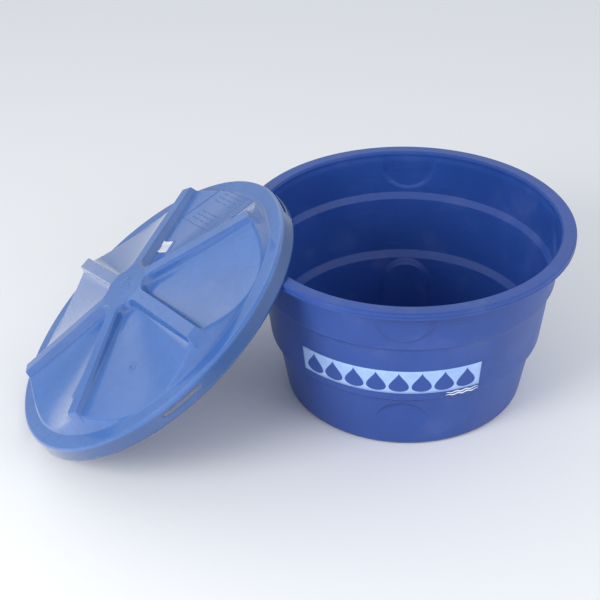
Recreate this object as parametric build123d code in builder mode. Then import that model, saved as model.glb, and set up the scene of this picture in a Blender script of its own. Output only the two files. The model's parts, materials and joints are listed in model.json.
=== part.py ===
"""Round three-tier polyethylene stock tank, with its loose ribbed lid leaning on the rim.

Millimetres, +Z up. The origin is the middle of the tank's underside, on the ground. The lid
leans on the -X side of the rim, with its lowest edge on the ground.
"""

import os
from math import atan2, cos, hypot, radians, sin, tan

from build123d import *

# ---------------------------------------------------------------- tank sizes
# The wall rises in three tapering tiers. Each tier starts where the one below it ends.
tank_wall = 4.0
tank_floor = 5.0
tank_height = 585.0
base_radius = 387.5
base_round = 18.0
lower_rise = 196.0
lower_flare = 31.0
lower_bow = 0.6
lower_step_rise = 21.0
lower_step_out = 20.5
middle_rise = 194.0
middle_flare = 21.0
upper_step_rise = 15.0
upper_step_out = 13.0
upper_flare = 7.0
step_round = 6.0

# The rim is a flat band that turns down at its outer edge into a lip.
rim_width = 45.0
rim_thickness = 5.5
rim_drop = 23.0
rim_round = 5.5
mouth_round = 11.0
lip_round = 2.5
groove_height = 9.0
groove_radius = 2.2

# Flat pads moulded into the curved wall, where a fitting can be drilled through.
pad_count = 4
first_pad_angle = 256.7
pad_radius = 82.0
pad_reach = 100.0
upper_pad_drop = 41.5
lower_pad_lift = 21.0
lower_pad_sink = 5.8

# ---------------------------------------------------------------- printed film sizes
film_thickness = 0.4
panel_middle_angle = 250.8
panel_arc = 74.0
panel_lift = 26.0
panel_height = 88.0
mark_middle_angle = 280.9
mark_arc = 14.0
mark_lift = 4.0
mark_height = 7.0
mark_pitch = 10.0
mark_lines = 2

# ---------------------------------------------------------------- lid sizes
lid_wall = 3.5
lid_clearance = 5.5
edge_flat = 0.035
skirt_flare = 7.0
flange_width = 52.0
flange_height = 52.0
flange_round = 9.0
crest_step = 24.0
crest_rise = 52.0
crown_rise = 38.0
valley_start = 92.0
valley_start_drop = 11.0
valley_end_lift = 1.0
valley_start_round = 84.0
valley_end_round = 430.0
hub_radius = 84.0
hub_rise = 21.0
hub_draft = 10.0
rib_start_radius = 55.0
rib_count = 6
first_rib_angle = -4.4
rib_width = 40.0
rib_end_setback = 1.0
rib_end_rise = 20.0
rib_draft = 10.0
slot_count = 4
first_slot_angle = 7.6
slot_length = 134.0
slot_width = 8.0
slot_height = 27.0
slot_reach = 10.5

label_length = 50.0
label_width = 42.0
label_distance = 190.0
label_offset = 50.0
label_thickness = 0.3
label_rib = 1

# ---------------------------------------------------------------- how the lid leans
lean_gap = 712.0
lean_clearance = 0.4

# ---------------------------------------------------------------- sizes that follow from these
lower_top_radius = base_radius + lower_flare
lower_top = lower_rise
middle_foot_radius = lower_top_radius + lower_step_out
middle_foot = lower_top + lower_step_rise
middle_top_radius = middle_foot_radius + middle_flare
middle_top = middle_foot + middle_rise
upper_foot_radius = middle_top_radius + upper_step_out
upper_foot = middle_top + upper_step_rise
upper_top_radius = upper_foot_radius + upper_flare
rim_radius = upper_top_radius + rim_width
lip_underside = tank_height - rim_thickness
lip_bottom = tank_height - rim_drop
lip_inner_radius = rim_radius - rim_thickness

upper_pad_height = lip_underside - upper_pad_drop
upper_pad_distance = upper_top_radius
lower_pad_height = lower_pad_lift + pad_radius
lower_pad_distance = base_radius + lower_flare * lower_pad_height / lower_rise - lower_pad_sink

flange_radius = rim_radius + lid_clearance + lid_wall
skirt_radius = flange_radius + skirt_flare
foot_radius = flange_radius - flange_width
crest_radius = foot_radius - crest_step
crest_height = flange_height + crest_rise
crown_height = crest_height + crown_rise
valley_start_height = crown_height - valley_start_drop
valley_end_height = flange_height + valley_end_lift
hub_height = crown_height + hub_rise
rib_end_radius = crest_radius - rib_end_setback
rib_end_height = crest_height + rib_end_rise

lean_reach = rim_radius + lean_gap
edge_round = lid_wall / 2
edge_radius = skirt_radius - edge_round
rim_round_radius = rim_radius - rim_round
rim_round_height = tank_height - rim_round


def lid_plane(tilt):
    """Lid's own plane at a tilt in degrees: x runs uphill to the tank, z out of the lid's top."""
    uphill = Vector(cos(radians(tilt)), 0, sin(radians(tilt)))
    outward = Vector(-sin(radians(tilt)), 0, cos(radians(tilt)))
    ground_edge = Vector(-lean_reach, 0, edge_round)
    origin = ground_edge + uphill * edge_radius - outward * edge_round
    return Plane(origin=origin, x_dir=uphill, z_dir=outward)


def rim_clearance(tilt):
    """Smallest gap between the skirt's rounded lower edge and the rim's rounded outer edge."""
    plane = lid_plane(tilt)
    steps = 240
    gaps = []
    for step in range(steps + 1):
        angle = radians(75) * step / steps
        local = Vector(edge_radius * cos(angle), edge_radius * sin(angle), edge_round)
        point = plane.from_local_coords(local)
        across = hypot(point.X, point.Y) - rim_round_radius
        gaps.append(hypot(across, point.Z - rim_round_height) - rim_round - edge_round)
    return min(gaps)


def resting_tilt():
    """Tilt at which a lid that is let down from upright first comes within the clearance."""
    tilt = 80.0
    step = 1.0
    while step > 1e-6:
        if rim_clearance(tilt - step) > lean_clearance:
            tilt -= step
        else:
            step /= 2
    return tilt


def facing(angle, distance, height):
    """Plane that faces outward at a compass angle, with its y axis pointing up."""
    turn = radians(angle)
    origin = (distance * cos(turn), distance * sin(turn), height)
    return Plane(origin=origin, x_dir=(-sin(turn), cos(turn), 0), z_dir=(cos(turn), sin(turn), 0))


def bowed(low, high):
    """Middle of the lower tier's wall between two ends, moved out by its slight bow."""
    return ((low[0] + high[0]) / 2 + lower_bow, (low[1] + high[1]) / 2)


def spread(first, count):
    """Equally spaced angles round a full turn."""
    return [first + 360 * place / count for place in range(count)]


# ---------------------------------------------------------------- tank shell
corner_shift = tank_wall * tan(radians(22.5))
pad_angles = spread(first_pad_angle, pad_count)
mouth_radius = upper_top_radius - tank_wall + mouth_round
pad_trim = (Align.CENTER, Align.MAX)
inner_base = (base_radius - tank_wall, tank_floor)
inner_lower_top = (lower_top_radius - tank_wall, lower_top + corner_shift)
outer_base = (base_radius, 0)
outer_lower_top = (lower_top_radius, lower_top)

with BuildPart() as cavity:
    with BuildSketch(Plane.XZ) as cavity_section:
        with BuildLine():
            Line((0, tank_floor), inner_base)
            ThreePointArc(inner_base, bowed(inner_base, inner_lower_top), inner_lower_top)
            Polyline(
                inner_lower_top,
                (middle_foot_radius - tank_wall, middle_foot + corner_shift),
                (middle_top_radius - tank_wall, middle_top + corner_shift),
                (upper_foot_radius - tank_wall, upper_foot + corner_shift),
                (mouth_radius - mouth_round, tank_height - mouth_round),
            )
            CenterArc((mouth_radius, tank_height - mouth_round), mouth_round, 90, 90)
            Polyline((mouth_radius, tank_height), (0, tank_height), (0, tank_floor))
        make_face()
        base_corner = cavity_section.vertices().sort_by_distance(inner_base)[0]
        fillet(base_corner, base_round - tank_wall)
    revolve(axis=Axis.Z)
    for pad_angle in pad_angles:
        with BuildSketch(facing(pad_angle, upper_pad_distance - tank_wall, upper_pad_height)):
            Circle(pad_radius - tank_wall)
            with Locations((0, lip_underside - upper_pad_height)):
                Rectangle(2 * pad_radius, 2 * pad_radius, align=pad_trim, mode=Mode.INTERSECT)
        extrude(amount=-pad_reach)
    for pad_angle in pad_angles:
        with BuildSketch(facing(pad_angle, lower_pad_distance - tank_wall, lower_pad_height)):
            Circle(pad_radius + tank_wall)
        extrude(amount=pad_reach, mode=Mode.SUBTRACT)

with BuildPart() as tank_shell:
    with BuildSketch(Plane.XZ) as tank_section:
        with BuildLine():
            Line((0, 0), outer_base)
            ThreePointArc(outer_base, bowed(outer_base, outer_lower_top), outer_lower_top)
            Polyline(
                outer_lower_top,
                (middle_foot_radius, middle_foot),
                (middle_top_radius, middle_top),
                (upper_foot_radius, upper_foot),
                (upper_top_radius, lip_underside),
                (lip_inner_radius, lip_underside),
                (lip_inner_radius, lip_bottom),
                (rim_radius, lip_bottom),
                (rim_radius, tank_height),
                (0, tank_height),
                (0, 0),
            )
        make_face()
        rounded_corners = (
            (base_radius, 0, base_round),
            (lower_top_radius, lower_top, step_round),
            (middle_foot_radius, middle_foot, step_round),
            (middle_top_radius, middle_top, step_round),
            (upper_foot_radius, upper_foot, step_round),
            (rim_radius, lip_bottom, lip_round),
            (lip_inner_radius, lip_bottom, lip_round),
            (rim_radius, tank_height, rim_round),
        )
        for corner_radius, corner_height, corner_round in rounded_corners:
            corner_spot = (corner_radius, corner_height)
            corner = tank_section.vertices().sort_by_distance(corner_spot)[0]
            fillet(corner, corner_round)
        with Locations((rim_radius, lip_bottom + groove_height)):
            Circle(groove_radius, mode=Mode.SUBTRACT)
    revolve(axis=Axis.Z)
    for pad_angle in pad_angles:
        with BuildSketch(facing(pad_angle, upper_pad_distance, upper_pad_height)):
            Circle(pad_radius)
            with Locations((0, lip_underside - upper_pad_height)):
                Rectangle(2 * pad_radius, 2 * pad_radius, align=pad_trim, mode=Mode.INTERSECT)
        extrude(amount=-pad_reach)
    for pad_angle in pad_angles:
        with BuildSketch(facing(pad_angle, lower_pad_distance, lower_pad_height)):
            Circle(pad_radius)
        extrude(amount=pad_reach, mode=Mode.SUBTRACT)
    add(cavity.part, mode=Mode.SUBTRACT)


# ---------------------------------------------------------------- films on the middle tier
def middle_tier_radius(height):
    """Outside radius of the middle tier's tapered wall at a height."""
    share = (height - middle_foot) / (middle_top - middle_foot)
    return middle_foot_radius + share * (middle_top_radius - middle_foot_radius)


def film_band(bottom, top, arc):
    """Thin film round part of the middle tier, centred on the XZ plane's +X side."""
    wall_angle = atan2(middle_top - middle_foot, middle_top_radius - middle_foot_radius)
    outward = film_thickness / sin(wall_angle)
    with BuildPart() as band:
        with BuildSketch(Plane.XZ.rotated((0, 0, -arc / 2))):
            with BuildLine():
                Polyline(
                    (middle_tier_radius(bottom), bottom),
                    (middle_tier_radius(bottom) + outward, bottom),
                    (middle_tier_radius(top) + outward, top),
                    (middle_tier_radius(top), top),
                    close=True,
                )
            make_face()
        revolve(axis=Axis.Z, revolution_arc=arc)
    return band.part


panel_bottom = middle_foot + panel_lift
mark_bottom = middle_foot + mark_lift

with BuildPart() as front_panel:
    with Locations(Location((0, 0, 0), (0, 0, panel_middle_angle))):
        add(film_band(panel_bottom, panel_bottom + panel_height, panel_arc))

with BuildPart() as wave_mark:
    for line in range(mark_lines):
        line_bottom = mark_bottom + line * mark_pitch
        with Locations(Location((0, 0, 0), (0, 0, mark_middle_angle))):
            add(film_band(line_bottom, line_bottom + mark_height, mark_arc))


# ---------------------------------------------------------------- lid in its own frame
rib_angles = spread(first_rib_angle, rib_count)
valley_angles = [rib_angle + 180 / rib_count for rib_angle in rib_angles]
slot_angles = spread(first_slot_angle, slot_count)
skirt_slope = skirt_flare / flange_height


def lid_form(inset):
    """Solid filled up to the lid's top face, drawn in by an inset from every face but the base."""
    with BuildPart() as form:
        with BuildSketch(Plane.XZ) as form_section:
            with BuildLine():
                Polyline(
                    (0, -inset),
                    (skirt_radius - inset + inset * skirt_slope, -inset),
                    (flange_radius - inset, flange_height - inset),
                    (foot_radius - inset, flange_height - inset),
                    (crest_radius - inset, crest_height - inset),
                    (0, crown_height - inset),
                    close=True,
                )
            make_face()
            flange_corner = (flange_radius - inset, flange_height - inset)
            corner = form_section.vertices().sort_by_distance(flange_corner)[0]
            fillet(corner, flange_round - inset)
        revolve(axis=Axis.Z)
        for valley_angle in valley_angles:
            near = facing(valley_angle, valley_start - inset, valley_start_height + valley_start_round)
            far = facing(valley_angle, skirt_radius, valley_end_height + valley_end_round)
            with BuildSketch(near):
                Circle(valley_start_round + inset)
            with BuildSketch(far):
                Circle(valley_end_round + inset)
            loft(ruled=True, mode=Mode.SUBTRACT)
        with BuildSketch(Plane.XY.offset(hub_height - inset)):
            Circle(hub_radius - inset)
        extrude(amount=-(hub_height - flange_height), taper=-hub_draft)
        for rib_angle in rib_angles:
            rib_ends = ((rib_start_radius, hub_height), (rib_end_radius, rib_end_height))
            for distance, height in rib_ends:
                half_top = rib_width / 2 - inset
                half_foot = half_top + (height - flange_height) * tan(radians(rib_draft))
                with BuildSketch(facing(rib_angle, distance - inset, 0)):
                    with BuildLine():
                        Polyline(
                            (-half_top, height - inset),
                            (half_top, height - inset),
                            (half_foot, flange_height - inset),
                            (-half_foot, flange_height - inset),
                            close=True,
                        )
                    make_face()
            loft(ruled=True)
    return form.part


outer_form = lid_form(0)
hollow_form = lid_form(lid_wall)
lean = lid_plane(resting_tilt())

with BuildPart() as flat_lid:
    add(outer_form)
    add(hollow_form, mode=Mode.SUBTRACT)
    skirt_edges = flat_lid.edges().filter_by(GeomType.CIRCLE).group_by(Axis.Z)[0]
    fillet(skirt_edges, edge_round - edge_flat)
    for slot_angle in slot_angles:
        with BuildSketch(facing(slot_angle, flange_radius, slot_height)):
            SlotOverall(slot_length, slot_width)
        extrude(amount=slot_reach, both=True, mode=Mode.SUBTRACT)

with BuildPart() as lid_shell:
    with Locations(lean.location):
        add(flat_lid.part)

label_angle = radians(rib_angles[label_rib])
label_x = label_distance * cos(label_angle) + label_offset * sin(label_angle)
label_y = label_distance * sin(label_angle) - label_offset * cos(label_angle)

with BuildPart() as flat_label:
    with BuildSketch(Plane.XY.offset(flange_height)):
        with Locations(Location((label_x, label_y, 0), (0, 0, rib_angles[label_rib]))):
            Rectangle(label_length, label_width)
    extrude(amount=hub_height)
    add(lid_form(-label_thickness), mode=Mode.INTERSECT)
    add(outer_form, mode=Mode.SUBTRACT)

with BuildPart() as lid_label:
    with Locations(lean.location):
        add(flat_label.part)


# ---------------------------------------------------------------- finished pieces
pieces = {
    "tank_shell": tank_shell,
    "front_panel": front_panel,
    "wave_mark": wave_mark,
    "lid_shell": lid_shell,
    "lid_label": lid_label,
}
os.makedirs("parts", exist_ok=True)
for name, piece in pieces.items():
    piece.part.label = name
    export_step(piece.part, f"parts/{name}.step")
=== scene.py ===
# %% [markdown]
# # A round stock tank and its ribbed lid
# The object is a moulded polyethylene water tank in three stepped, tapering tiers, open at the
# top, with a loose lid that leans on its rim. This lesson loads the CAD model, builds a fine
# visible surface for each piece, gives the plastic its finish, and lights it in a plain studio.

# %% Load the CAD frame
import json

import bmesh
import bpy
import numpy as np
from mathutils import Matrix, Vector


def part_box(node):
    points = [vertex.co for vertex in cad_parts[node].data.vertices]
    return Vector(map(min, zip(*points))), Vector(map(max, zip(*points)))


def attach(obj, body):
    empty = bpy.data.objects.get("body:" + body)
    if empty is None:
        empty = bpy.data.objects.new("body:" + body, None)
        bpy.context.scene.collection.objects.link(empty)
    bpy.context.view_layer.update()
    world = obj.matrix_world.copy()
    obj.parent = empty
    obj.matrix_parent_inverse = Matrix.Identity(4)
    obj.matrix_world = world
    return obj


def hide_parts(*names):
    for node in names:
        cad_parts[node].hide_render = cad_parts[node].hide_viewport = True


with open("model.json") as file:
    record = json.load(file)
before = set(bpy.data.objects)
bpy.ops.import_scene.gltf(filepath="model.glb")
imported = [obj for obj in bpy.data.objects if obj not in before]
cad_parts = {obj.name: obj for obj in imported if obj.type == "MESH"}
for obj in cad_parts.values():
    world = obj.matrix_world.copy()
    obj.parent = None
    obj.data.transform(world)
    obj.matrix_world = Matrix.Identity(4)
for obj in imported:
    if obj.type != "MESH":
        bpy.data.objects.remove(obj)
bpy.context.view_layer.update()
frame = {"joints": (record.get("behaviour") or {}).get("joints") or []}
tank_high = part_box("tank_shell")[1]
tank_height = tank_high[2]
rim_radius = tank_high[0]
print("tank", round(2 * rim_radius, 3), "m across,", round(tank_height, 3), "m high")

# %% [markdown]
# ## Two small tools for surfaces
# Every piece here is a surface of two parameters, worked out on a grid of points with numpy and
# then handed to Blender in one go. The other tool draws a section with rounded corners, which is
# how a moulded part is really drawn: straight runs joined by arcs, because plastic can't flow
# into a perfectly sharp corner.


# %% Grid of points to mesh
def surface_object(name, points, closed_round=False, leave_out=None):
    """Object from a grid: each cell of four neighbouring points becomes one face.

    closed_round joins the last column to the first. leave_out marks cells with no face.
    """
    rows, columns = points.shape[:2]
    index = np.arange(rows * columns).reshape(rows, columns)
    after = np.roll(index, -1, axis=1) if closed_round else index[:, 1:]
    before = index if closed_round else index[:, :-1]
    cells = np.stack([before[:-1], after[:-1], after[1:], before[1:]], axis=-1)
    if leave_out is not None:
        cells = cells[~leave_out]
    mesh = bpy.data.meshes.new(name)
    mesh.from_pydata(points.reshape(-1, 3), [], cells.reshape(-1, 4))
    made = bpy.data.objects.new(name, mesh)
    bpy.context.scene.collection.objects.link(made)
    return made


def tidy_mesh(made, merge=1e-5):
    """Merges points that lie together, turns every face outwards and shades it smooth."""
    work = bmesh.new()
    work.from_mesh(made.data)
    bmesh.ops.remove_doubles(work, verts=work.verts, dist=merge)
    bmesh.ops.dissolve_degenerate(work, edges=work.edges, dist=merge)
    loose = [point for point in work.verts if not point.link_faces]
    bmesh.ops.delete(work, geom=loose, context="VERTS")
    bmesh.ops.recalc_face_normals(work, faces=work.faces)
    work.to_mesh(made.data)
    work.free()
    made.data.shade_smooth()
    return made


# %% Section with rounded corners
def rounded_section(corners, run_step=0.02, arc_steps=6):
    """Points along straight runs joined by arcs.

    Each corner is (x, z, round, step): an arc of that radius touches both runs, and the run that
    leads away from the corner is divided into pieces no longer than step.
    """
    spots = np.array([corner[:2] for corner in corners], dtype=float)
    path = []
    for place, corner in enumerate(corners):
        here = spots[place]
        radius = corner[2]
        leaving = here
        if radius > 0:
            back = spots[place - 1] - here
            ahead = spots[place + 1] - here
            back /= np.linalg.norm(back)
            ahead /= np.linalg.norm(ahead)
            half = np.arccos(np.clip(back @ ahead, -1, 1)) / 2
            middle = here + (back + ahead) / np.linalg.norm(back + ahead) * radius / np.sin(half)
            start = here + back * radius / np.tan(half) - middle
            end = here + ahead * radius / np.tan(half) - middle
            turn = np.linspace(0, 1, arc_steps + 1)[:, None]
            swing = np.pi - 2 * half
            arc = (np.sin((1 - turn) * swing) * start + np.sin(turn * swing) * end) / np.sin(swing)
            path.append(middle + arc)
            leaving = middle + end
        else:
            path.append(here[None])
        if place + 1 < len(corners):
            following = spots[place + 1]
            shorten = 0.0
            if corners[place + 1][2] > 0:
                back = here - following
                ahead = spots[place + 2] - following
                cosine = back @ ahead / np.linalg.norm(back) / np.linalg.norm(ahead)
                shorten = corners[place + 1][2] / np.tan(np.arccos(np.clip(cosine, -1, 1)) / 2)
            run = following - leaving
            length = np.linalg.norm(run) - shorten
            step = corner[3] if len(corner) > 3 else run_step
            pieces = max(int(np.ceil(length / step)), 1)
            along = np.arange(1, pieces)[:, None] / pieces
            path.append(leaving + run / np.linalg.norm(run) * length * along)
    return np.concatenate(path)


# %% [markdown]
# ## The tank's shell
# The real shell is one moulding: a section spun round an upright axis. Spinning a section is
# therefore the honest way to make it. Two things break the symmetry, a flat arched pad high up and
# another low down, at four places round the wall, where a pipe fitting can be drilled through.
# They are made by moving the grid's points: inside a pad's outline, a point slides along the pad's
# own direction until it lies in the pad's plane. Columns are close together only at the pads.

# %% Tank sizes, in metres
wall = 0.004
floor_thickness = 0.005
base_radius = 0.3875
lower_top = (0.4185, 0.196)
middle_foot = (0.439, 0.217)
middle_top = (0.460, 0.411)
upper_foot = (0.473, 0.426)
upper_top_radius = 0.480
rim_thickness = 0.0055
rim_drop = 0.023
pad_radius = 0.082
pad_angles = np.radians(256.7 + 90 * np.arange(4))
lower_slope = (lower_top[0] - base_radius) / lower_top[1]
upper_pad = {"height": 0.538, "outer": 0.480, "inner": 0.476, "slope": 0.0, "legs": 1}
lower_pad = {"height": 0.103, "outer": 0.398, "inner": 0.3808, "slope": lower_slope, "legs": -1}
soft_edge = 0.007

# %% Tank section, from the middle of the underside round to the middle of the floor
lip_underside = tank_height - rim_thickness
lip_bottom = tank_height - rim_drop
lip_inside = rim_radius - rim_thickness
shift = wall * np.tan(np.radians(22.5))
groove = lip_bottom + 0.009
close_step = 0.0034

outside_corners = [
    (0.0, 0.0, 0, 0.05),
    (base_radius, 0.0, 0.018, close_step),
    (*lower_top, 0.006, 0.012),
    (*middle_foot, 0.006, 0.022),
    (*middle_top, 0.006, 0.012),
    (*upper_foot, 0.006, close_step),
    (upper_top_radius, lip_underside, 0.003, 0.012),
    (lip_inside, lip_underside, 0.003, 0.012),
    (lip_inside, lip_bottom, 0.0024, 0.004),
    (rim_radius, lip_bottom, 0.0024, 0.004),
    (rim_radius, groove - 0.0024, 0.0008, 0.004),
    (rim_radius - 0.0022, groove, 0.0008, 0.004),
    (rim_radius, groove + 0.0024, 0.0008, 0.004),
    (rim_radius, tank_height - 0.001, 0.0055, 0.008),
]
mouth_radius = upper_top_radius - wall
inside_corners = [
    (mouth_radius + 0.0075, tank_height, 0.0050, 0.003),
    (mouth_radius, tank_height - 0.034, 0.080, close_step),
    (upper_foot[0] - wall + 0.0015, upper_foot[1] + shift + 0.006, 0.006, 0.012),
    (middle_top[0] - wall, middle_top[1] + shift, 0.006, 0.022),
    (middle_foot[0] - wall, middle_foot[1] + shift, 0.008, 0.012),
    (lower_top[0] - wall, lower_top[1] + shift, 0.006, close_step),
    (base_radius - wall, floor_thickness, 0.014, 0.05),
    (0.0, floor_thickness, 0, 0.05),
]
section = rounded_section(outside_corners + inside_corners)
is_inside = np.arange(len(section)) > np.argmax(section[:, 1] - 0.5 * section[:, 0])
print("tank section has", len(section), "points")

# %% Columns round the tank, close together at the pads
pad_half = np.radians(12.5)
pad_columns = np.linspace(-pad_half, pad_half, 49)
gap_columns = np.linspace(pad_half, np.pi / 2 - pad_half, 19)[1:-1]
quarter = np.concatenate([pad_columns, gap_columns])
columns = np.concatenate([quarter + angle for angle in pad_angles])


# %% Pads pressed into the wall
def press_pad(points, inner, pad, outwards):
    """Moves points inside a pad's outline into its plane.

    The outline is an arch: a circle with straight legs up to the rim, or down to the floor. In
    the pad's own directions (across, up, out) a point inside it has its out value raised, or
    lowered, to the plane's distance, which inside may slope with height. On the outside the edge
    is crisp, so points next to it are first moved onto it. On the inside the press fades out over
    a soft edge.
    """
    tilted = pad["inner"] + pad["slope"] * (points[..., 2] - pad["height"])
    distance = np.where(inner, tilted, pad["outer"])
    sign = 1.0 if outwards else -1.0
    radius = pad_radius + np.where(inner, wall, 0.0)
    for angle in pad_angles:
        out = np.array([np.cos(angle), np.sin(angle)])
        across = np.array([-out[1], out[0]])
        facing = points[..., 0] * out[0] + points[..., 1] * out[1]
        side = points[..., 0] * across[0] + points[..., 1] * across[1]
        up = points[..., 2] - pad["height"]
        rise = np.where(up * pad["legs"] > 0, 0.0, up)
        reach = np.hypot(side, rise)
        in_range = (facing > 0) & (reach < 0.1) & (np.abs(up) < 0.11)
        in_range &= (points[..., 2] < lip_underside - 0.004) | inner
        in_range &= np.hypot(points[..., 0], points[..., 1]) > 0.3
        edge = radius + np.where(reach < radius, -0.0007, 0.0007)
        near = in_range & ~inner & (np.abs(reach - radius) < 0.0022)
        scale = np.where(near, edge / np.maximum(reach, 1e-6), 1.0)
        radial = np.hypot(facing, side)
        side = side * scale
        up = up + rise * (scale - 1)
        rise = rise * scale
        facing = np.where(near, np.sqrt(np.maximum(radial**2 - side**2, 0)), facing)
        depth = np.maximum(sign * (distance - facing), 0)
        inside = radius - np.hypot(side, rise)
        fade = np.clip(0.5 + inside / (2 * soft_edge), 0, 1)
        fade = np.where(inner, fade * fade * (3 - 2 * fade), (inside > 0) * 1.0)
        near_mouth = np.clip((tank_height - 0.016 - points[..., 2]) / 0.060, 0, 1)
        facing = facing + sign * np.where(in_range, depth * fade * near_mouth, 0)
        points[..., 0] = facing * out[0] + side * across[0]
        points[..., 1] = facing * out[1] + side * across[1]
        points[..., 2] = up + pad["height"]
    return points


# %% Spin the tank's section
spun = np.empty((len(section), len(columns), 3))
spun[..., 0] = section[:, :1] * np.cos(columns)
spun[..., 1] = section[:, :1] * np.sin(columns)
spun[..., 2] = section[:, 1:]
inner_grid = np.repeat(is_inside[:, None], len(columns), axis=1)
spun = press_pad(spun, inner_grid, upper_pad, outwards=True)
spun = press_pad(spun, inner_grid, lower_pad, outwards=False)
tank = tidy_mesh(surface_object("tank_wall", spun, closed_round=True))
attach(tank, "tank")
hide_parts("tank_shell")
print("tank wall", len(tank.data.polygons), "faces")

# %% [markdown]
# ## Where the lid leans
# The lid is made lying flat in its own directions, x towards the tank, y sideways and z out of
# its top, and then laid in place. The hinge in the CAD model is the spot where the lid's edge
# rests on the ground, and the end of its travel is where the skirt lies flat on the ground, so
# the lean is worked out from those two rather than measured again.

# %% Lid sizes, in metres
lid_wall = 0.0035
skirt_radius = 0.541
flange_radius = 0.534
flange_height = 0.052
foot_radius = 0.482
crest_radius = 0.458
crest_height = 0.104
crown_height = 0.142
valley_start = 0.092
valley_start_height = 0.131
hub_radius = 0.084
hub_height = 0.163
rib_angles = np.radians(-4.4 + 60 * np.arange(6))
rib_half_width = 0.020
rib_end_radius = 0.457
rib_end_height = 0.124
slot_middle = np.radians(7.6)
slot_low, slot_top = 0.022, 0.032
valley_corner = 0.043

# %% Lean of the lid
tip = next(joint for joint in frame["joints"] if joint["name"] == "lid_tip")
flare = np.degrees(np.arctan((skirt_radius - flange_radius) / flange_height))
lean = np.radians(90 + flare - tip["range_deg"][1])
uphill = np.array([np.cos(lean), 0, np.sin(lean)])
sideways = np.array([0.0, 1.0, 0.0])
outward = np.array([-np.sin(lean), 0, np.cos(lean)])
edge_round = lid_wall / 2
lid_origin = np.array(tip["pos_m"]) + uphill * (skirt_radius - edge_round) - outward * edge_round
print("lid leans", round(float(np.degrees(lean)), 2), "degrees")


def lay_in_place(flat):
    """Turns lid points (x, y, z) into the frame: origin + x uphill + y sideways + z outward."""
    return lid_origin + flat[..., :1] * uphill + flat[..., 1:2] * sideways + flat[..., 2:] * outward


# %% [markdown]
# ## The lid's top as one formula
# Six ribs run from a hub like spokes. Between two ribs the sheet sinks into a valley that is
# shallow at the hub and reaches down to the flat flange at its outer end. A height formula says
# all of this: a parabola across each valley, a steep cone round the outside, and ribs that stand
# on top. Plain minimum and maximum would leave knife edges where these meet, so a soft version
# of each is used, which rounds the corner as moulding does.


# %% Soft joins
def soft_min(a, b, size):
    """Smaller of two values, with the corner where they cross rounded over the given size."""
    blend = np.maximum(size - np.abs(a - b), 0) / size
    return np.minimum(a, b) - blend**2 * size / 4


def soft_max(a, b, size):
    """Larger of two values, rounded in the same way."""
    return -soft_min(-a, -b, size)


# %% Height of the lid's top
def lid_height(x, y):
    """Height of the lid's top over its own base plane at (x, y)."""
    radius = np.hypot(x, y)
    turn = np.mod(np.arctan2(y, x) - rib_angles[0], np.pi / 3)
    off_middle = np.abs(turn - np.pi / 6) / np.radians(27)
    drop = (valley_start_height - flange_height) / (foot_radius - valley_start)
    valley_floor = valley_start_height - drop * (radius - valley_start)
    crown = crown_height - (crown_height - crest_height) * radius / crest_radius
    valley_floor = np.minimum(valley_floor, crown)
    panel = valley_floor + (crown - valley_floor) * off_middle**2
    steepness = (crest_height - flange_height) / (foot_radius - crest_radius)
    cone = flange_height + (foot_radius - radius) * steepness
    base = soft_max(soft_min(panel, cone, 0.005), np.full_like(radius, flange_height), 0.008)
    share = np.clip((radius - hub_radius) / (rib_end_radius - hub_radius), 0, None)
    top = hub_height - (hub_height - rib_end_height) * share
    end = rib_end_height - (radius - rib_end_radius) * 3.5
    top = soft_min(top, end, 0.005)
    stand = soft_max(top - base, np.zeros_like(radius), 0.003)
    from_middle = turn - np.pi / 6
    along = 2 * (rib_half_width + valley_corner) - radius * np.cos(from_middle)
    aside = np.abs(radius * np.sin(from_middle))
    to_ribs = np.minimum(radius * np.sin(turn), radius * np.sin(np.pi / 3 - turn))
    round_end = rib_half_width + valley_corner - np.hypot(along, aside)
    to_ribs = np.where((along > 0) & (aside < along * np.sqrt(3)), round_end, to_ribs)
    width = stand * np.tan(np.radians(10)) + 0.0060
    fall = np.clip((to_ribs - rib_half_width + 0.0015) / width, 0, 1)
    return base + stand * (1 - fall**2 * (3 - 2 * fall))


# %% [markdown]
# ## The lid's grid
# A grid of plain circles and spokes would cut across the ribs' straight sides and make them
# ragged. Here the columns beside each rib keep a fixed distance from it, so every edge of a rib
# lies along a column. Over the flat flange the columns slide to even spacing, because the skirt
# has four long slots and its columns have to meet their ends.

# %% Rows and columns of the lid
beside_rib = np.array([0, 9, 15, 17.5, 18.5, 19.5, 20.5, 21.5, 22.5, 23.5, 24.5, 26, 29]) / 1000
between_ribs = 10
half_sector = len(beside_rib) - 1 + between_ribs
lid_columns = 12 * half_sector


def sector_angles(radius):
    """Column angles over one sector at each radius, from one rib to the next."""
    widest = np.radians(24)
    last = np.arcsin(np.minimum(beside_rib[-1] / radius, np.sin(widest)))
    near = np.arcsin(np.minimum(np.sin(last)[:, None] * beside_rib / beside_rib[-1], 1))
    even = np.linspace(0, 1, between_ribs + 1)[1:]
    far = last[:, None] + (np.pi / 6 - last)[:, None] * even
    half = np.concatenate([near, far], axis=1)
    return np.concatenate([half, np.pi / 3 - half[:, -2:0:-1]], axis=1)


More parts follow.
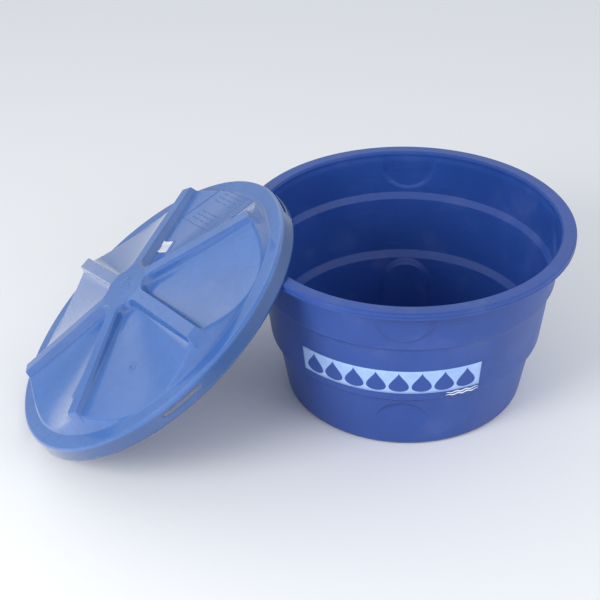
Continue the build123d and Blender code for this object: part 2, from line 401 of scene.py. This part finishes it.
top_rows = np.concatenate(
    [
        [0.0005, 0.015, 0.03, 0.045],
        np.arange(0.055, 0.140, 0.0028),
        np.linspace(0.1425, 0.442, 54),
        np.arange(0.445, 0.494, 0.0017),
        np.linspace(0.497, 0.520, 5),
    ]
)
edge_section = rounded_section(
    [
        (0.5215, flange_height, 0, 0.01),
        (flange_radius, flange_height, 0.009, 0.006),
        (skirt_radius - 0.0043, slot_top, 0, 0.00125),
        (skirt_radius - 0.00295, slot_low, 0, 0.007),
        (skirt_radius, 0.0, 0, 0.01),
    ],
    arc_steps=8,
)
edge_section[:, 0] = np.where(
    edge_section[:, 1] < slot_top + 1e-6,
    skirt_radius - (skirt_radius - flange_radius) * edge_section[:, 1] / flange_height,
    edge_section[:, 0],
)
edge_section = np.vstack([edge_section, [skirt_radius, 0.0]])
apart = np.linalg.norm(np.diff(edge_section, axis=0), axis=1) > 1e-5
edge_section = edge_section[np.r_[True, apart]]

# %% Lid points
row_radius = np.concatenate([top_rows, edge_section[:, 0]])
by_rib = sector_angles(row_radius)
by_rib = np.concatenate([by_rib + angle for angle in rib_angles], axis=1)
spacing = 2 * np.pi / lid_columns
first_column = slot_middle - spacing * round((slot_middle - rib_angles[0]) / spacing)
even_angles = first_column + spacing * np.arange(lid_columns)
slide = np.clip((row_radius - 0.489) / (0.5205 - 0.489), 0, 1)[:, None]
column_angle = by_rib * (1 - slide) + even_angles * slide
flat = np.empty((len(row_radius), lid_columns, 3))
flat[..., 0] = row_radius[:, None] * np.cos(column_angle)
flat[..., 1] = row_radius[:, None] * np.sin(column_angle)
flat[..., 2] = lid_height(flat[..., 0], flat[..., 1])
flat[len(top_rows) :, :, 2] = edge_section[:, 1:]

# %% Slots in the skirt
slot_half_columns = 5
slot_centre = round((slot_middle - first_column) / spacing)
heights = np.concatenate([np.full(len(top_rows), 1.0), edge_section[:, 1]])
cell_height = (heights[:-1] + heights[1:]) / 2
in_band = (cell_height > slot_low) & (cell_height < slot_top) & (heights[:-1] < 0.5)
quarter_columns = lid_columns // 4
offset = np.mod(np.arange(lid_columns) - slot_centre + quarter_columns // 2, quarter_columns)
offset = offset - quarter_columns // 2
in_slot = (offset >= -slot_half_columns) & (offset < slot_half_columns)
left_out = in_band[:, None] & in_slot[None, :]
slot_round = (slot_top - slot_low) / 2
off_centre = np.clip((heights - (slot_low + slot_top) / 2) / slot_round, -1, 1)
bulge = np.where(heights < 0.5, np.sqrt(1 - off_centre**2) * slot_round / skirt_radius, 0)
for end, way in ((slot_half_columns, 1), (-slot_half_columns, -1)):
    at_end = np.isin(offset, [end])
    turn_by = way * bulge[:, None] * at_end[None, :]
    angle = column_angle + turn_by
    flat[..., 0] = row_radius[:, None] * np.cos(angle)
    flat[..., 1] = row_radius[:, None] * np.sin(angle)
    column_angle = angle
print("lid rows", len(row_radius), "columns", lid_columns, "slot cells", int(left_out.sum()))

# %% Lid piece
lid = surface_object("lid_cover", lay_in_place(flat), closed_round=True, leave_out=left_out)
lid = tidy_mesh(lid, merge=6e-5)
hub_cap = bmesh.new()
hub_cap.from_mesh(lid.data)
hub_ring = [edge for edge in hub_cap.edges if edge.is_boundary]
hub_ring = [e for e in hub_ring if (e.verts[0].co - Vector(lid_origin)).length < 0.2]
bmesh.ops.contextual_create(hub_cap, geom=hub_ring)
hub_cap.to_mesh(lid.data)
hub_cap.free()
middle_face = lid.data.polygons[len(lid.data.polygons) // 2]
away = np.array(middle_face.normal) @ outward
if away < 0:
    lid.data.flip_normals()
thickness = lid.modifiers.new("wall", "SOLIDIFY")
thickness.thickness = lid_wall
thickness.offset = -1
thickness.use_even_offset = False
thickness.use_quality_normals = True
lid.data.shade_smooth()
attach(lid, "lid")
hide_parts("lid_shell")
print("lid cover", len(lid.data.polygons), "faces before its thickness")


# %% [markdown]
# ## Moulded marks on the lid
# Small raised marks break up the large smooth sheet: a framed block of short bars, a round dial
# with ticks, a few bars on the hub and on one rib. Each mark is a low ridge draped over the
# lid: a strip of points follows the height formula and is lifted by a millimetre or so.


# %% Draped ridge
def ridge(path, width, lift):
    """Low ridge along a flat path of (x, y) points, lying on the lid's top.

    Across the path the ridge has five points, sunk edges, shoulders and a crown, and every
    point takes the lid's height at its own place.
    """
    path = np.asarray(path, dtype=float)
    along = np.gradient(path, axis=0)
    along /= np.linalg.norm(along, axis=1)[:, None]
    side = np.stack([-along[:, 1], along[:, 0]], axis=1)
    across = np.array([-0.5, -0.32, 0.0, 0.32, 0.5]) * width
    rise = np.array([-0.3, 1.0, 1.1, 1.0, -0.3]) * lift
    spots = path[:, None] + side[:, None] * across[None, :, None]
    height = lid_height(spots[..., 0], spots[..., 1]) + rise
    ends = np.zeros(len(path), dtype=bool)
    ends[[0, -1]] = True
    height[ends] = lid_height(spots[..., 0], spots[..., 1])[ends] - 0.3 * lift
    return np.concatenate([spots, height[..., None]], axis=-1)


def bar(middle, angle, length, width, lift, points=8):
    """Straight ridge through a middle point."""
    reach = np.linspace(-0.5, 0.5, points)[:, None] * length
    reach[1] = -0.5 * length + 0.3 * width
    reach[-2] = 0.5 * length - 0.3 * width
    return ridge(np.array(middle) + reach * np.array([np.cos(angle), np.sin(angle)]), width, lift)


def join_strips(name, strips):
    """One object from many small grids of points."""
    made = [surface_object(name, lay_in_place(strip)) for strip in strips]
    with bpy.context.temp_override(active_object=made[0], selected_editable_objects=made):
        bpy.ops.object.join()
    return made[0]


# %% Framed block of bars between two ribs
block_angle = rib_angles[0] + np.radians(30)
block_along = np.array([np.cos(block_angle), np.sin(block_angle)])
block_across = np.array([-block_along[1], block_along[0]])
block_middle = 0.386 * block_along + 0.026 * block_across
block_half_length, block_half_width = 0.082, 0.108
mark_lift = 0.0014
marks = []
for tick_place in range(17):
    tick_offset = (tick_place - 8) * 0.0092
    for column, tick_length in ((-0.086, 0.022), (-0.056, 0.012)):
        spot = block_middle + block_along * tick_offset + block_across * column
        marks.append(bar(spot, block_angle + np.pi / 2, tick_length, 0.0042, mark_lift))
for row_place, row_offset in enumerate((-0.060, -0.042, -0.024, 0.030, 0.048, 0.066)):
    for piece_place, piece_offset in enumerate((-0.018, 0.022, 0.062)):
        piece_length = (0.030, 0.022, 0.034)[(piece_place + row_place) % 3]
        spot = block_middle + block_along * row_offset + block_across * piece_offset
        marks.append(bar(spot, block_angle + np.pi / 2, piece_length, 0.0050, mark_lift))
for way in (-1, 1):
    side_spot = block_middle + block_across * way * block_half_width
    marks.append(bar(side_spot, block_angle, 2 * block_half_length, 0.0026, mark_lift, points=20))
    end_spot = block_middle + block_along * way * block_half_length
    end_angle = block_angle + np.pi / 2
    marks.append(bar(end_spot, end_angle, 2 * block_half_width, 0.0026, mark_lift, points=30))

# %% Bars on the hub and on one rib
hub_rows = ((-0.034, 0.030), (-0.020, 0.046), (-0.006, 0.034), (0.012, 0.052), (0.028, 0.040))
for row_offset, row_length in hub_rows:
    row_spot = (0.004, row_offset)
    marks.append(bar(row_spot, 0.0, row_length, 0.0052, mark_lift))
rib_along = np.array([np.cos(rib_angles[5]), np.sin(rib_angles[5])])
for distance, row_length in ((0.130, 0.026), (0.235, 0.034)):
    marks.append(bar(distance * rib_along, rib_angles[5], row_length, 0.0050, mark_lift))

# %% Moulded dial with ticks in one valley
dial_middle = 0.315 * np.array([np.cos(np.radians(261)), np.sin(np.radians(261))])
round_trip = np.linspace(0, 2 * np.pi, 33)
circle = np.stack([np.cos(round_trip), np.sin(round_trip)], axis=1)
marks.append(ridge(dial_middle + 0.0095 * circle, 0.0022, 0.0010))
crescent = np.linspace(0.4 * np.pi, 1.6 * np.pi, 15)
arc = np.stack([np.cos(crescent), np.sin(crescent)], axis=1)
marks.append(ridge(dial_middle + 0.0050 * arc, 0.0030, 0.0012))
for tick in np.radians(30) * np.arange(12):
    tick_spot = dial_middle + 0.0165 * np.array([np.cos(tick), np.sin(tick)])
    marks.append(bar(tick_spot, tick, 0.0050, 0.0020, 0.0009, points=5))

lid_marks = tidy_mesh(join_strips("lid_marks", marks))
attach(lid_marks, "lid")
print("lid marks", len(lid_marks.data.polygons), "faces")

# %% [markdown]
# ## Label on the lid
# A small paper label sits in the valley beside a rib, near the hub. It is a thin sheet with its
# own thickness, draped over the same height formula, so that it lies on the curved plastic.

# %% Label
label_rib = rib_angles[1]
label_along = np.array([np.cos(label_rib), np.sin(label_rib)])
label_side = np.array([label_along[1], -label_along[0]])
label_length, label_width = 0.050, 0.040
label_lift, label_paper = 0.0006, 0.0003
label_middle = 0.190 * label_along + 0.047 * label_side
grid_u, grid_v = np.meshgrid(np.linspace(-0.5, 0.5, 21), np.linspace(-0.5, 0.5, 17), indexing="ij")
label_flat = (
    label_middle
    + grid_u[..., None] * label_length * label_along
    + grid_v[..., None] * label_width * label_side
)
label_height = lid_height(label_flat[..., 0], label_flat[..., 1]) + label_lift
label_points = np.concatenate([label_flat, label_height[..., None]], axis=-1)
label = surface_object("lid_sticker", lay_in_place(label_points))


def write_uv(made, u, v):
    """Gives every corner of every face the (u, v) of its point."""
    layer = made.data.uv_layers.new(name="UVMap")
    of_corner = np.empty(len(made.data.loops), dtype=np.int32)
    made.data.loops.foreach_get("vertex_index", of_corner)
    pairs = np.stack([u.ravel()[of_corner], v.ravel()[of_corner]], axis=1)
    layer.data.foreach_set("uv", pairs.ravel())


def face_the_right_way(made, direction):
    """Turns the faces round if the first one looks against a direction."""
    if np.array(made.data.polygons[0].normal) @ np.array(direction) < 0:
        made.data.flip_normals()


write_uv(label, grid_u + 0.5, grid_v + 0.5)
face_the_right_way(label, outward)
label_thickness = label.modifiers.new("paper", "SOLIDIFY")
label_thickness.thickness = label_paper
label_thickness.offset = -1
label.data.shade_smooth()
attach(label, "lid")
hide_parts("lid_label")

# %% [markdown]
# ## Printed film on the front
# The middle tier carries a pale printed panel with dark shapes left open in it, and a little mark
# of waves below its right end. Each film is a piece of the same cone as the wall, a hair's
# breadth outside it, so it lies on the plastic with no gap to see.


# %% Film on the middle tier
film_lift = 0.00045
film_thickness = 0.0003


def cone_points(angle, height, lift):
    """Points on the middle tier's outside at angles and heights, lifted off the wall."""
    share = (height - middle_foot[1]) / (middle_top[1] - middle_foot[1])
    radius = middle_foot[0] + share * (middle_top[0] - middle_foot[0]) + lift
    return np.stack([radius * np.cos(angle), radius * np.sin(angle), height + 0 * angle], axis=-1)


def film(name, angle, height, u, v, replaced):
    """Thin printed film from grids of angle, height and pattern place."""
    made = surface_object(name, cone_points(angle, height, film_lift))
    write_uv(made, u, v)
    first = cone_points(angle, height, 0.0)[0, 0]
    face_the_right_way(made, (first[0], first[1], 0))
    backing = made.modifiers.new("film", "SOLIDIFY")
    backing.thickness = film_thickness
    backing.offset = -1
    made.data.shade_smooth()
    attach(made, "tank")
    if replaced:
        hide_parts(replaced)
    return made


panel_middle, panel_arc = np.radians(250.8), np.radians(74)
panel_low, panel_tall = 0.243, 0.088
panel_u, panel_v = np.meshgrid(np.linspace(0, 1, 97), np.linspace(0, 1, 9), indexing="ij")
panel_angle = panel_middle + (panel_u - 0.5) * panel_arc
panel_height = panel_low + panel_v * panel_tall
panel = film(
    "front_print", panel_angle, panel_height, panel_u, panel_v, "front_panel"
)

# %% Wave mark
mark_u, mark_v = np.meshgrid(np.linspace(0, 1, 61), np.linspace(0, 1, 3), indexing="ij")
mark_angle = np.radians(280.9) + (mark_u - 0.5) * np.radians(14)
for line in range(2):
    swell = 0.0019 * np.sin(mark_u * 7 * np.pi + line)
    thin = 0.0052 * np.sin(np.pi * mark_u) ** 0.5 + 0.0003
    mark_height = 0.2250 + line * 0.009 + swell + (mark_v - 0.5) * thin
    replaced_mark = "wave_mark" if line == 0 else None
    film(f"wave_{line + 1}", mark_angle, mark_height, mark_u, mark_v, replaced_mark)

# %% [markdown]
# ## Blue polyethylene
# Both pieces are rotomoulded or thermoformed polyethylene, coloured all through. Its surface is
# never one flat colour: the pigment is slightly uneven, the skin has a very fine grain, fine
# scratches and chalky rubs are scattered over it, and the gloss varies in broad clouds. The lid
# comes off a polished mould and is glossier than the tank. One function builds both finishes.
# Every pattern reads Object coordinates, so it stays put on the piece from any side.


# %% Node helpers
def new_finish(name):
    """Empty material with its principled shader and its output."""
    finish = bpy.data.materials.new(name)
    finish.use_nodes = True
    shader = finish.node_tree.nodes["Principled BSDF"]
    return finish, finish.node_tree, shader


def add_node(tree, kind, inputs=None, **settings):
    """New node with its settings and the values or links of its inputs."""
    node = tree.nodes.new(kind)
    for setting, value in settings.items():
        setattr(node, setting, value)
    for socket, value in (inputs or {}).items():
        if isinstance(value, bpy.types.NodeSocket):
            tree.links.new(value, node.inputs[socket])
        else:
            node.inputs[socket].default_value = value
    return node


def calc(tree, operation, *values):
    """Result of one sum on numbers or sockets."""
    node = add_node(tree, "ShaderNodeMath", dict(enumerate(values)), operation=operation)
    return node.outputs[0]


def ramp_between(tree, value, low, high, to_low=0.0, to_high=1.0):
    """Value taken smoothly from to_low at low to to_high at high."""
    inputs = {0: value, 1: low, 2: high, 3: to_low, 4: to_high}
    node = add_node(tree, "ShaderNodeMapRange", inputs, interpolation_type="SMOOTHSTEP")
    return node.outputs[0]


def tint(tree, factor, first, second):
    """Colour between two colours or sockets."""
    node = add_node(tree, "ShaderNodeMix", {0: factor, 6: first, 7: second}, data_type="RGBA")
    return node.outputs[2]


def cloud(tree, place, scale, detail=3.0, rough=0.5, stretch=None):
    """Noise value at a place, with the place stretched first where asked."""
    if stretch:
        mapping = add_node(tree, "ShaderNodeMapping", {"Vector": place})
        mapping.inputs["Scale"].default_value = stretch
        place = mapping.outputs[0]
    inputs = {"Vector": place, "Scale": scale, "Detail": detail, "Roughness": rough}
    return add_node(tree, "ShaderNodeTexNoise", inputs).outputs[0]


# %% Polyethylene finish
def polyethylene(name, deep, pale, gloss, scratch_stretch, grain, skirt_shade_keep=1.0):
    """Coloured plastic: two blues mixed by clouds, chalky rubs, fine grain and uneven gloss.

    A skirt value under 1 darkens the colour below the flange of the lid, on its skirt, as painted
    shade. Height over the lid's base plane is the point's own place along the lid's outward
    direction.
    """
    finish, tree, shader = new_finish(name)
    place = add_node(tree, "ShaderNodeTexCoord").outputs["Object"]
    clouds = cloud(tree, place, 4.2, 5.0, 0.55)
    mottle = cloud(tree, place, 38.0, 3.0)
    blue = tint(tree, ramp_between(tree, clouds, 0.32, 0.68), deep, pale)
    darker = tuple(0.86 * part for part in deep[:3]) + (1.0,)
    blue = tint(tree, ramp_between(tree, mottle, 0.42, 0.75, 0.0, 0.35), blue, darker)
    rubs = cloud(tree, place, 8.0, 3.0, 0.5)
    scratches = cloud(tree, place, 22.0, 3.0, 0.5, scratch_stretch)
    rubbed = ramp_between(tree, rubs, 0.52, 0.85, 0.0, 0.10)
    scratched = ramp_between(tree, scratches, 0.60, 0.80, 0.0, 0.06)
    worn = calc(tree, "MAXIMUM", rubbed, scratched)
    chalk = tuple(0.55 * part + 0.30 for part in pale[:3]) + (1.0,)
    blue = tint(tree, worn, blue, chalk)
    # Painted shade: the lid's skirt, below the flange, is darkened towards deep navy.
    if skirt_shade_keep < 1:
        lift = add_node(tree, "ShaderNodeVectorMath", operation="DOT_PRODUCT")
        tree.links.new(place, lift.inputs[0])
        lift.inputs[1].default_value = outward
        above_edge = calc(tree, "SUBTRACT", lift.outputs["Value"], float(lid_origin @ outward))
        above_skirt_shade = ramp_between(tree, above_edge, 0.036, 0.048)
        blue = tint(tree, above_skirt_shade, tint(tree, 1.0 - skirt_shade_keep, blue, (0.0, 0.012, 0.060, 1.0)), blue)
    tree.links.new(blue, shader.inputs["Base Color"])
    roughness = ramp_between(tree, clouds, 0.3, 0.7, gloss, gloss + 0.09)
    roughness = calc(tree, "ADD", roughness, calc(tree, "MULTIPLY", worn, 0.3))
    tree.links.new(roughness, shader.inputs["Roughness"])
    skin = cloud(tree, place, 620.0, 2.0)
    waves = cloud(tree, place, 13.0, 2.0)
    fine = add_node(tree, "ShaderNodeBump", {"Strength": grain, "Distance": 0.0004, "Height": skin})
    broad_inputs = {"Strength": 0.22, "Distance": 0.0020, "Height": waves}
    broad_inputs["Normal"] = fine.outputs[0]
    broad = add_node(tree, "ShaderNodeBump", broad_inputs)
    tree.links.new(broad.outputs[0], shader.inputs["Normal"])
    shader.inputs["IOR"].default_value = 1.51
    return finish, shader


tank_blue, tank_shader = polyethylene(
    "tank_blue",
    deep=(0.020, 0.066, 0.300, 1.0),
    pale=(0.025, 0.078, 0.340, 1.0),
    gloss=0.33,
    scratch_stretch=(0.35, 0.35, 6.0),
    grain=0.08,
)
lid_blue, lid_shader = polyethylene(
    "lid_blue",
    deep=(0.046, 0.134, 0.400, 1.0),
    pale=(0.054, 0.154, 0.445, 1.0),
    gloss=0.20,
    scratch_stretch=(5.0, 0.5, 0.5),
    grain=0.012,
    # painted shade on the lid's skirt
    skirt_shade_keep=0.55,
)
lid_shader.inputs["Coat Weight"].default_value = 1.0
lid_shader.inputs["Coat Roughness"].default_value = 0.07
print("finishes:", tank_blue.name, lid_blue.name)

# %% [markdown]
# ## Printed films
# The front film is pale blue ink with a row of drops left open, so the tank's own blue shows in
# them. A drop is one formula: its half width at height h is (1 - h) times the root of (1 - h
# squared), which is round below and pointed on top. The ink is slightly patchy and a little worn.

# %% Front print
drop_count = 8.0
panel_print, tree, shader = new_finish("panel_print")
film_place = add_node(tree, "ShaderNodeTexCoord").outputs["UV"]
parts = add_node(tree, "ShaderNodeSeparateXYZ", {0: film_place})
drop_x = calc(tree, "MULTIPLY", calc(tree, "SUBTRACT", parts.outputs[0], 0.5), drop_count / 0.955)
drop_x = calc(tree, "FRACT", calc(tree, "ADD", drop_x, 50.0))
drop_x = calc(tree, "ABSOLUTE", calc(tree, "MULTIPLY", calc(tree, "SUBTRACT", drop_x, 0.5), 2.0))
drop_y = calc(tree, "MULTIPLY", calc(tree, "SUBTRACT", parts.outputs[1], 0.5), 2.0 / 0.84)
under_root = calc(tree, "SUBTRACT", 1.0, calc(tree, "MULTIPLY", drop_y, drop_y))
root = calc(tree, "SQRT", calc(tree, "MAXIMUM", under_root, 0.0))
drop_width = calc(tree, "MULTIPLY", calc(tree, "SUBTRACT", 1.0, drop_y), root)
drop_width = calc(tree, "MULTIPLY", drop_width, 0.68)
in_drop = ramp_between(tree, calc(tree, "SUBTRACT", drop_width, drop_x), -0.02, 0.02)
margin = calc(tree, "ABSOLUTE", calc(tree, "SUBTRACT", parts.outputs[0], 0.5))
in_drop = calc(tree, "MULTIPLY", in_drop, calc(tree, "LESS_THAN", margin, 0.4775))
object_place = add_node(tree, "ShaderNodeTexCoord").outputs["Object"]
patches = cloud(tree, object_place, 30.0, 5.0, 0.6)
patchy = ramp_between(tree, patches, 0.35, 0.7)
ink = tint(tree, patchy, (0.34, 0.50, 0.84, 1), (0.41, 0.57, 0.90, 1))
missing = ramp_between(tree, cloud(tree, object_place, 120.0, 6.0, 0.7), 0.66, 0.76, 0.0, 0.7)
in_drop = calc(tree, "MAXIMUM", in_drop, missing)
printed = tint(tree, in_drop, ink, (0.023, 0.072, 0.320, 1))
tree.links.new(printed, shader.inputs["Base Color"])
print_gloss = ramp_between(tree, patches, 0.3, 0.7, 0.38, 0.50)
tree.links.new(print_gloss, shader.inputs["Roughness"])
skin = cloud(tree, object_place, 620.0, 2.0)
print_skin = {"Strength": 0.15, "Distance": 0.0004, "Height": skin}
print_bump = add_node(tree, "ShaderNodeBump", print_skin)
tree.links.new(print_bump.outputs[0], shader.inputs["Normal"])

# %% Wave mark's ink
mark_print, tree, shader = new_finish("mark_print")
object_place = add_node(tree, "ShaderNodeTexCoord").outputs["Object"]
patches = cloud(tree, object_place, 60.0, 5.0, 0.6)
patchy = ramp_between(tree, patches, 0.35, 0.7)
ink = tint(tree, patchy, (0.74, 0.80, 0.92, 1), (0.84, 0.88, 0.96, 1))
tree.links.new(ink, shader.inputs["Base Color"])
tree.links.new(ramp_between(tree, patches, 0.3, 0.7, 0.42, 0.55), shader.inputs["Roughness"])
mark_skin = {"Strength": 0.1, "Distance": 0.0003, "Height": patches}
mark_bump = add_node(tree, "ShaderNodeBump", mark_skin)
tree.links.new(mark_bump.outputs[0], shader.inputs["Normal"])

# %% [markdown]
# ## Paper label
# Off-white coated paper with plain grey bars where a real label has its lines of print, and a
# blue band along one edge. The paper is slightly yellowed in patches and has a soft wrinkle.

# %% Label paper
label_white, tree, shader = new_finish("label_white")
label_place = add_node(tree, "ShaderNodeTexCoord").outputs["UV"]
object_place = add_node(tree, "ShaderNodeTexCoord").outputs["Object"]
parts = add_node(tree, "ShaderNodeSeparateXYZ", {0: label_place})
patches = cloud(tree, object_place, 70.0, 4.0)
patchy = ramp_between(tree, patches, 0.35, 0.7)
paper = tint(tree, patchy, (0.74, 0.76, 0.80, 1), (0.86, 0.87, 0.88, 1))
lines = calc(tree, "FRACT", calc(tree, "MULTIPLY", parts.outputs[1], 9.0))
in_line = calc(tree, "LESS_THAN", lines, 0.34)
line_number = calc(tree, "FLOOR", calc(tree, "MULTIPLY", parts.outputs[1], 9.0))
ragged = calc(tree, "FRACT", calc(tree, "MULTIPLY", line_number, 0.381966))
line_end = calc(tree, "ADD", 0.62, calc(tree, "MULTIPLY", ragged, 0.30))
in_text = calc(tree, "LESS_THAN", parts.outputs[0], line_end)
in_text = calc(tree, "MULTIPLY", in_text, calc(tree, "GREATER_THAN", parts.outputs[0], 0.08))
in_line = calc(tree, "MULTIPLY", in_line, in_text)
paper = tint(tree, calc(tree, "MULTIPLY", in_line, 0.85), paper, (0.16, 0.22, 0.42, 1))
in_band = calc(tree, "GREATER_THAN", parts.outputs[1], 0.74)
paper = tint(tree, in_band, paper, (0.10, 0.19, 0.50, 1))
tree.links.new(paper, shader.inputs["Base Color"])
tree.links.new(ramp_between(tree, patches, 0.3, 0.7, 0.35, 0.5), shader.inputs["Roughness"])
wrinkle = cloud(tree, object_place, 45.0, 2.0)
paper_skin = {"Strength": 0.3, "Distance": 0.0006, "Height": wrinkle}
paper_bump = add_node(tree, "ShaderNodeBump", paper_skin)
tree.links.new(paper_bump.outputs[0], shader.inputs["Normal"])

# %% Finishes onto pieces
for made, finish in (
    (tank, tank_blue),
    (lid, lid_blue),
    (lid_marks, lid_blue),
    (label, label_white),
    (panel, panel_print),
    (bpy.data.objects["wave_1"], mark_print),
    (bpy.data.objects["wave_2"], mark_print),
):
    made.data.materials.clear()
    made.data.materials.append(finish)
    print(made.name, "wears", finish.name)

# %% [markdown]
# ## Floor, light and camera
# The object stands on a plain pale floor. The sky is a soft tent: dim near the floor, bright from
# about a quarter of the way up, and dimmer again overhead, so that glossy plastic has an edge to
# reflect. One large soft light is high on the left and a weaker one on the right. Neither is seen
# in reflections, so the gleams come from the sky alone. The camera looks down at about
# thirty-three degrees.

# %% Floor
floor_mesh = bpy.data.meshes.new("floor")
floor_reach = 300.0
corner_signs = ((-1, -1), (1, -1), (1, 1), (-1, 1))
floor_corners = [(x * floor_reach, y * floor_reach, 0) for x, y in corner_signs]
floor_mesh.from_pydata(floor_corners, [], [(0, 1, 2, 3)])
floor = bpy.data.objects.new("floor", floor_mesh)
bpy.context.scene.collection.objects.link(floor)
floor_paint, tree, shader = new_finish("floor_paint")
shader.inputs["Base Color"].default_value = (0.86, 0.86, 0.87, 1)
shader.inputs["Roughness"].default_value = 0.85
floor.data.materials.append(floor_paint)

# %% Sky and lights
world = bpy.data.worlds.new("studio")
bpy.context.scene.world = world
world.use_nodes = True
sky_tree = world.node_tree
sky_place = add_node(sky_tree, "ShaderNodeTexCoord").outputs["Generated"]
sky_height = add_node(sky_tree, "ShaderNodeSeparateXYZ", {0: sky_place}).outputs[2]
above_band = ramp_between(sky_tree, sky_height, 0.18, 0.42)
overhead = ramp_between(sky_tree, sky_height, 0.60, 0.95)
sky_colour = tint(sky_tree, above_band, (0.40, 0.46, 0.56, 1), (0.98, 1.0, 1.0, 1))
sky_colour = tint(sky_tree, overhead, sky_colour, (0.38, 0.42, 0.50, 1))
background = sky_tree.nodes["Background"]
sky_tree.links.new(sky_colour, background.inputs["Color"])
background.inputs["Strength"].default_value = 1.0
bpy.context.scene.view_settings.view_transform = "Standard"


def soft_light(name, place, aim, size, power, colour):
    """Square area light at a place, turned to face a point."""
    lamp = bpy.data.lights.new(name, "AREA")
    lamp.shape = "RECTANGLE"
    lamp.size, lamp.size_y = size
    lamp.energy = power
    lamp.color = colour
    made = bpy.data.objects.new(name, lamp)
    bpy.context.scene.collection.objects.link(made)
    towards = Vector(aim) - Vector(place)
    turned = towards.to_track_quat("-Z", "Y").to_matrix().to_4x4()
    made.matrix_world = Matrix.Translation(place) @ turned
    return made


key = soft_light("key", (-4.2, -2.6, 3.0), (-0.3, 0, 0.3), (2.2, 2.2), 165, (1.0, 0.99, 0.97))
key.visible_glossy = False
fill = soft_light("fill", (3.0, -3.2, 2.4), (0, 0, 0.3), (2.6, 2.0), 50, (0.96, 0.98, 1.0))
fill.visible_glossy = False

# %% Camera
camera_data = bpy.data.cameras.new("camera")
camera_data.sensor_width = 36.0
camera_data.lens = 75.79
camera = bpy.data.objects.new("camera", camera_data)
bpy.context.scene.collection.objects.link(camera)
forward = Vector((0.11122, 0.82802, -0.54956)).normalized()
right = Vector((0.98862, -0.14853, -0.0237))
right = (right - right.dot(forward) * forward).normalized()
upward = right.cross(forward)
turned = Matrix((right, upward, -forward)).transposed().to_4x4()
camera.matrix_world = Matrix.Translation((-0.7968, -3.3639, 2.5622)) @ turned
bpy.context.scene.camera = camera
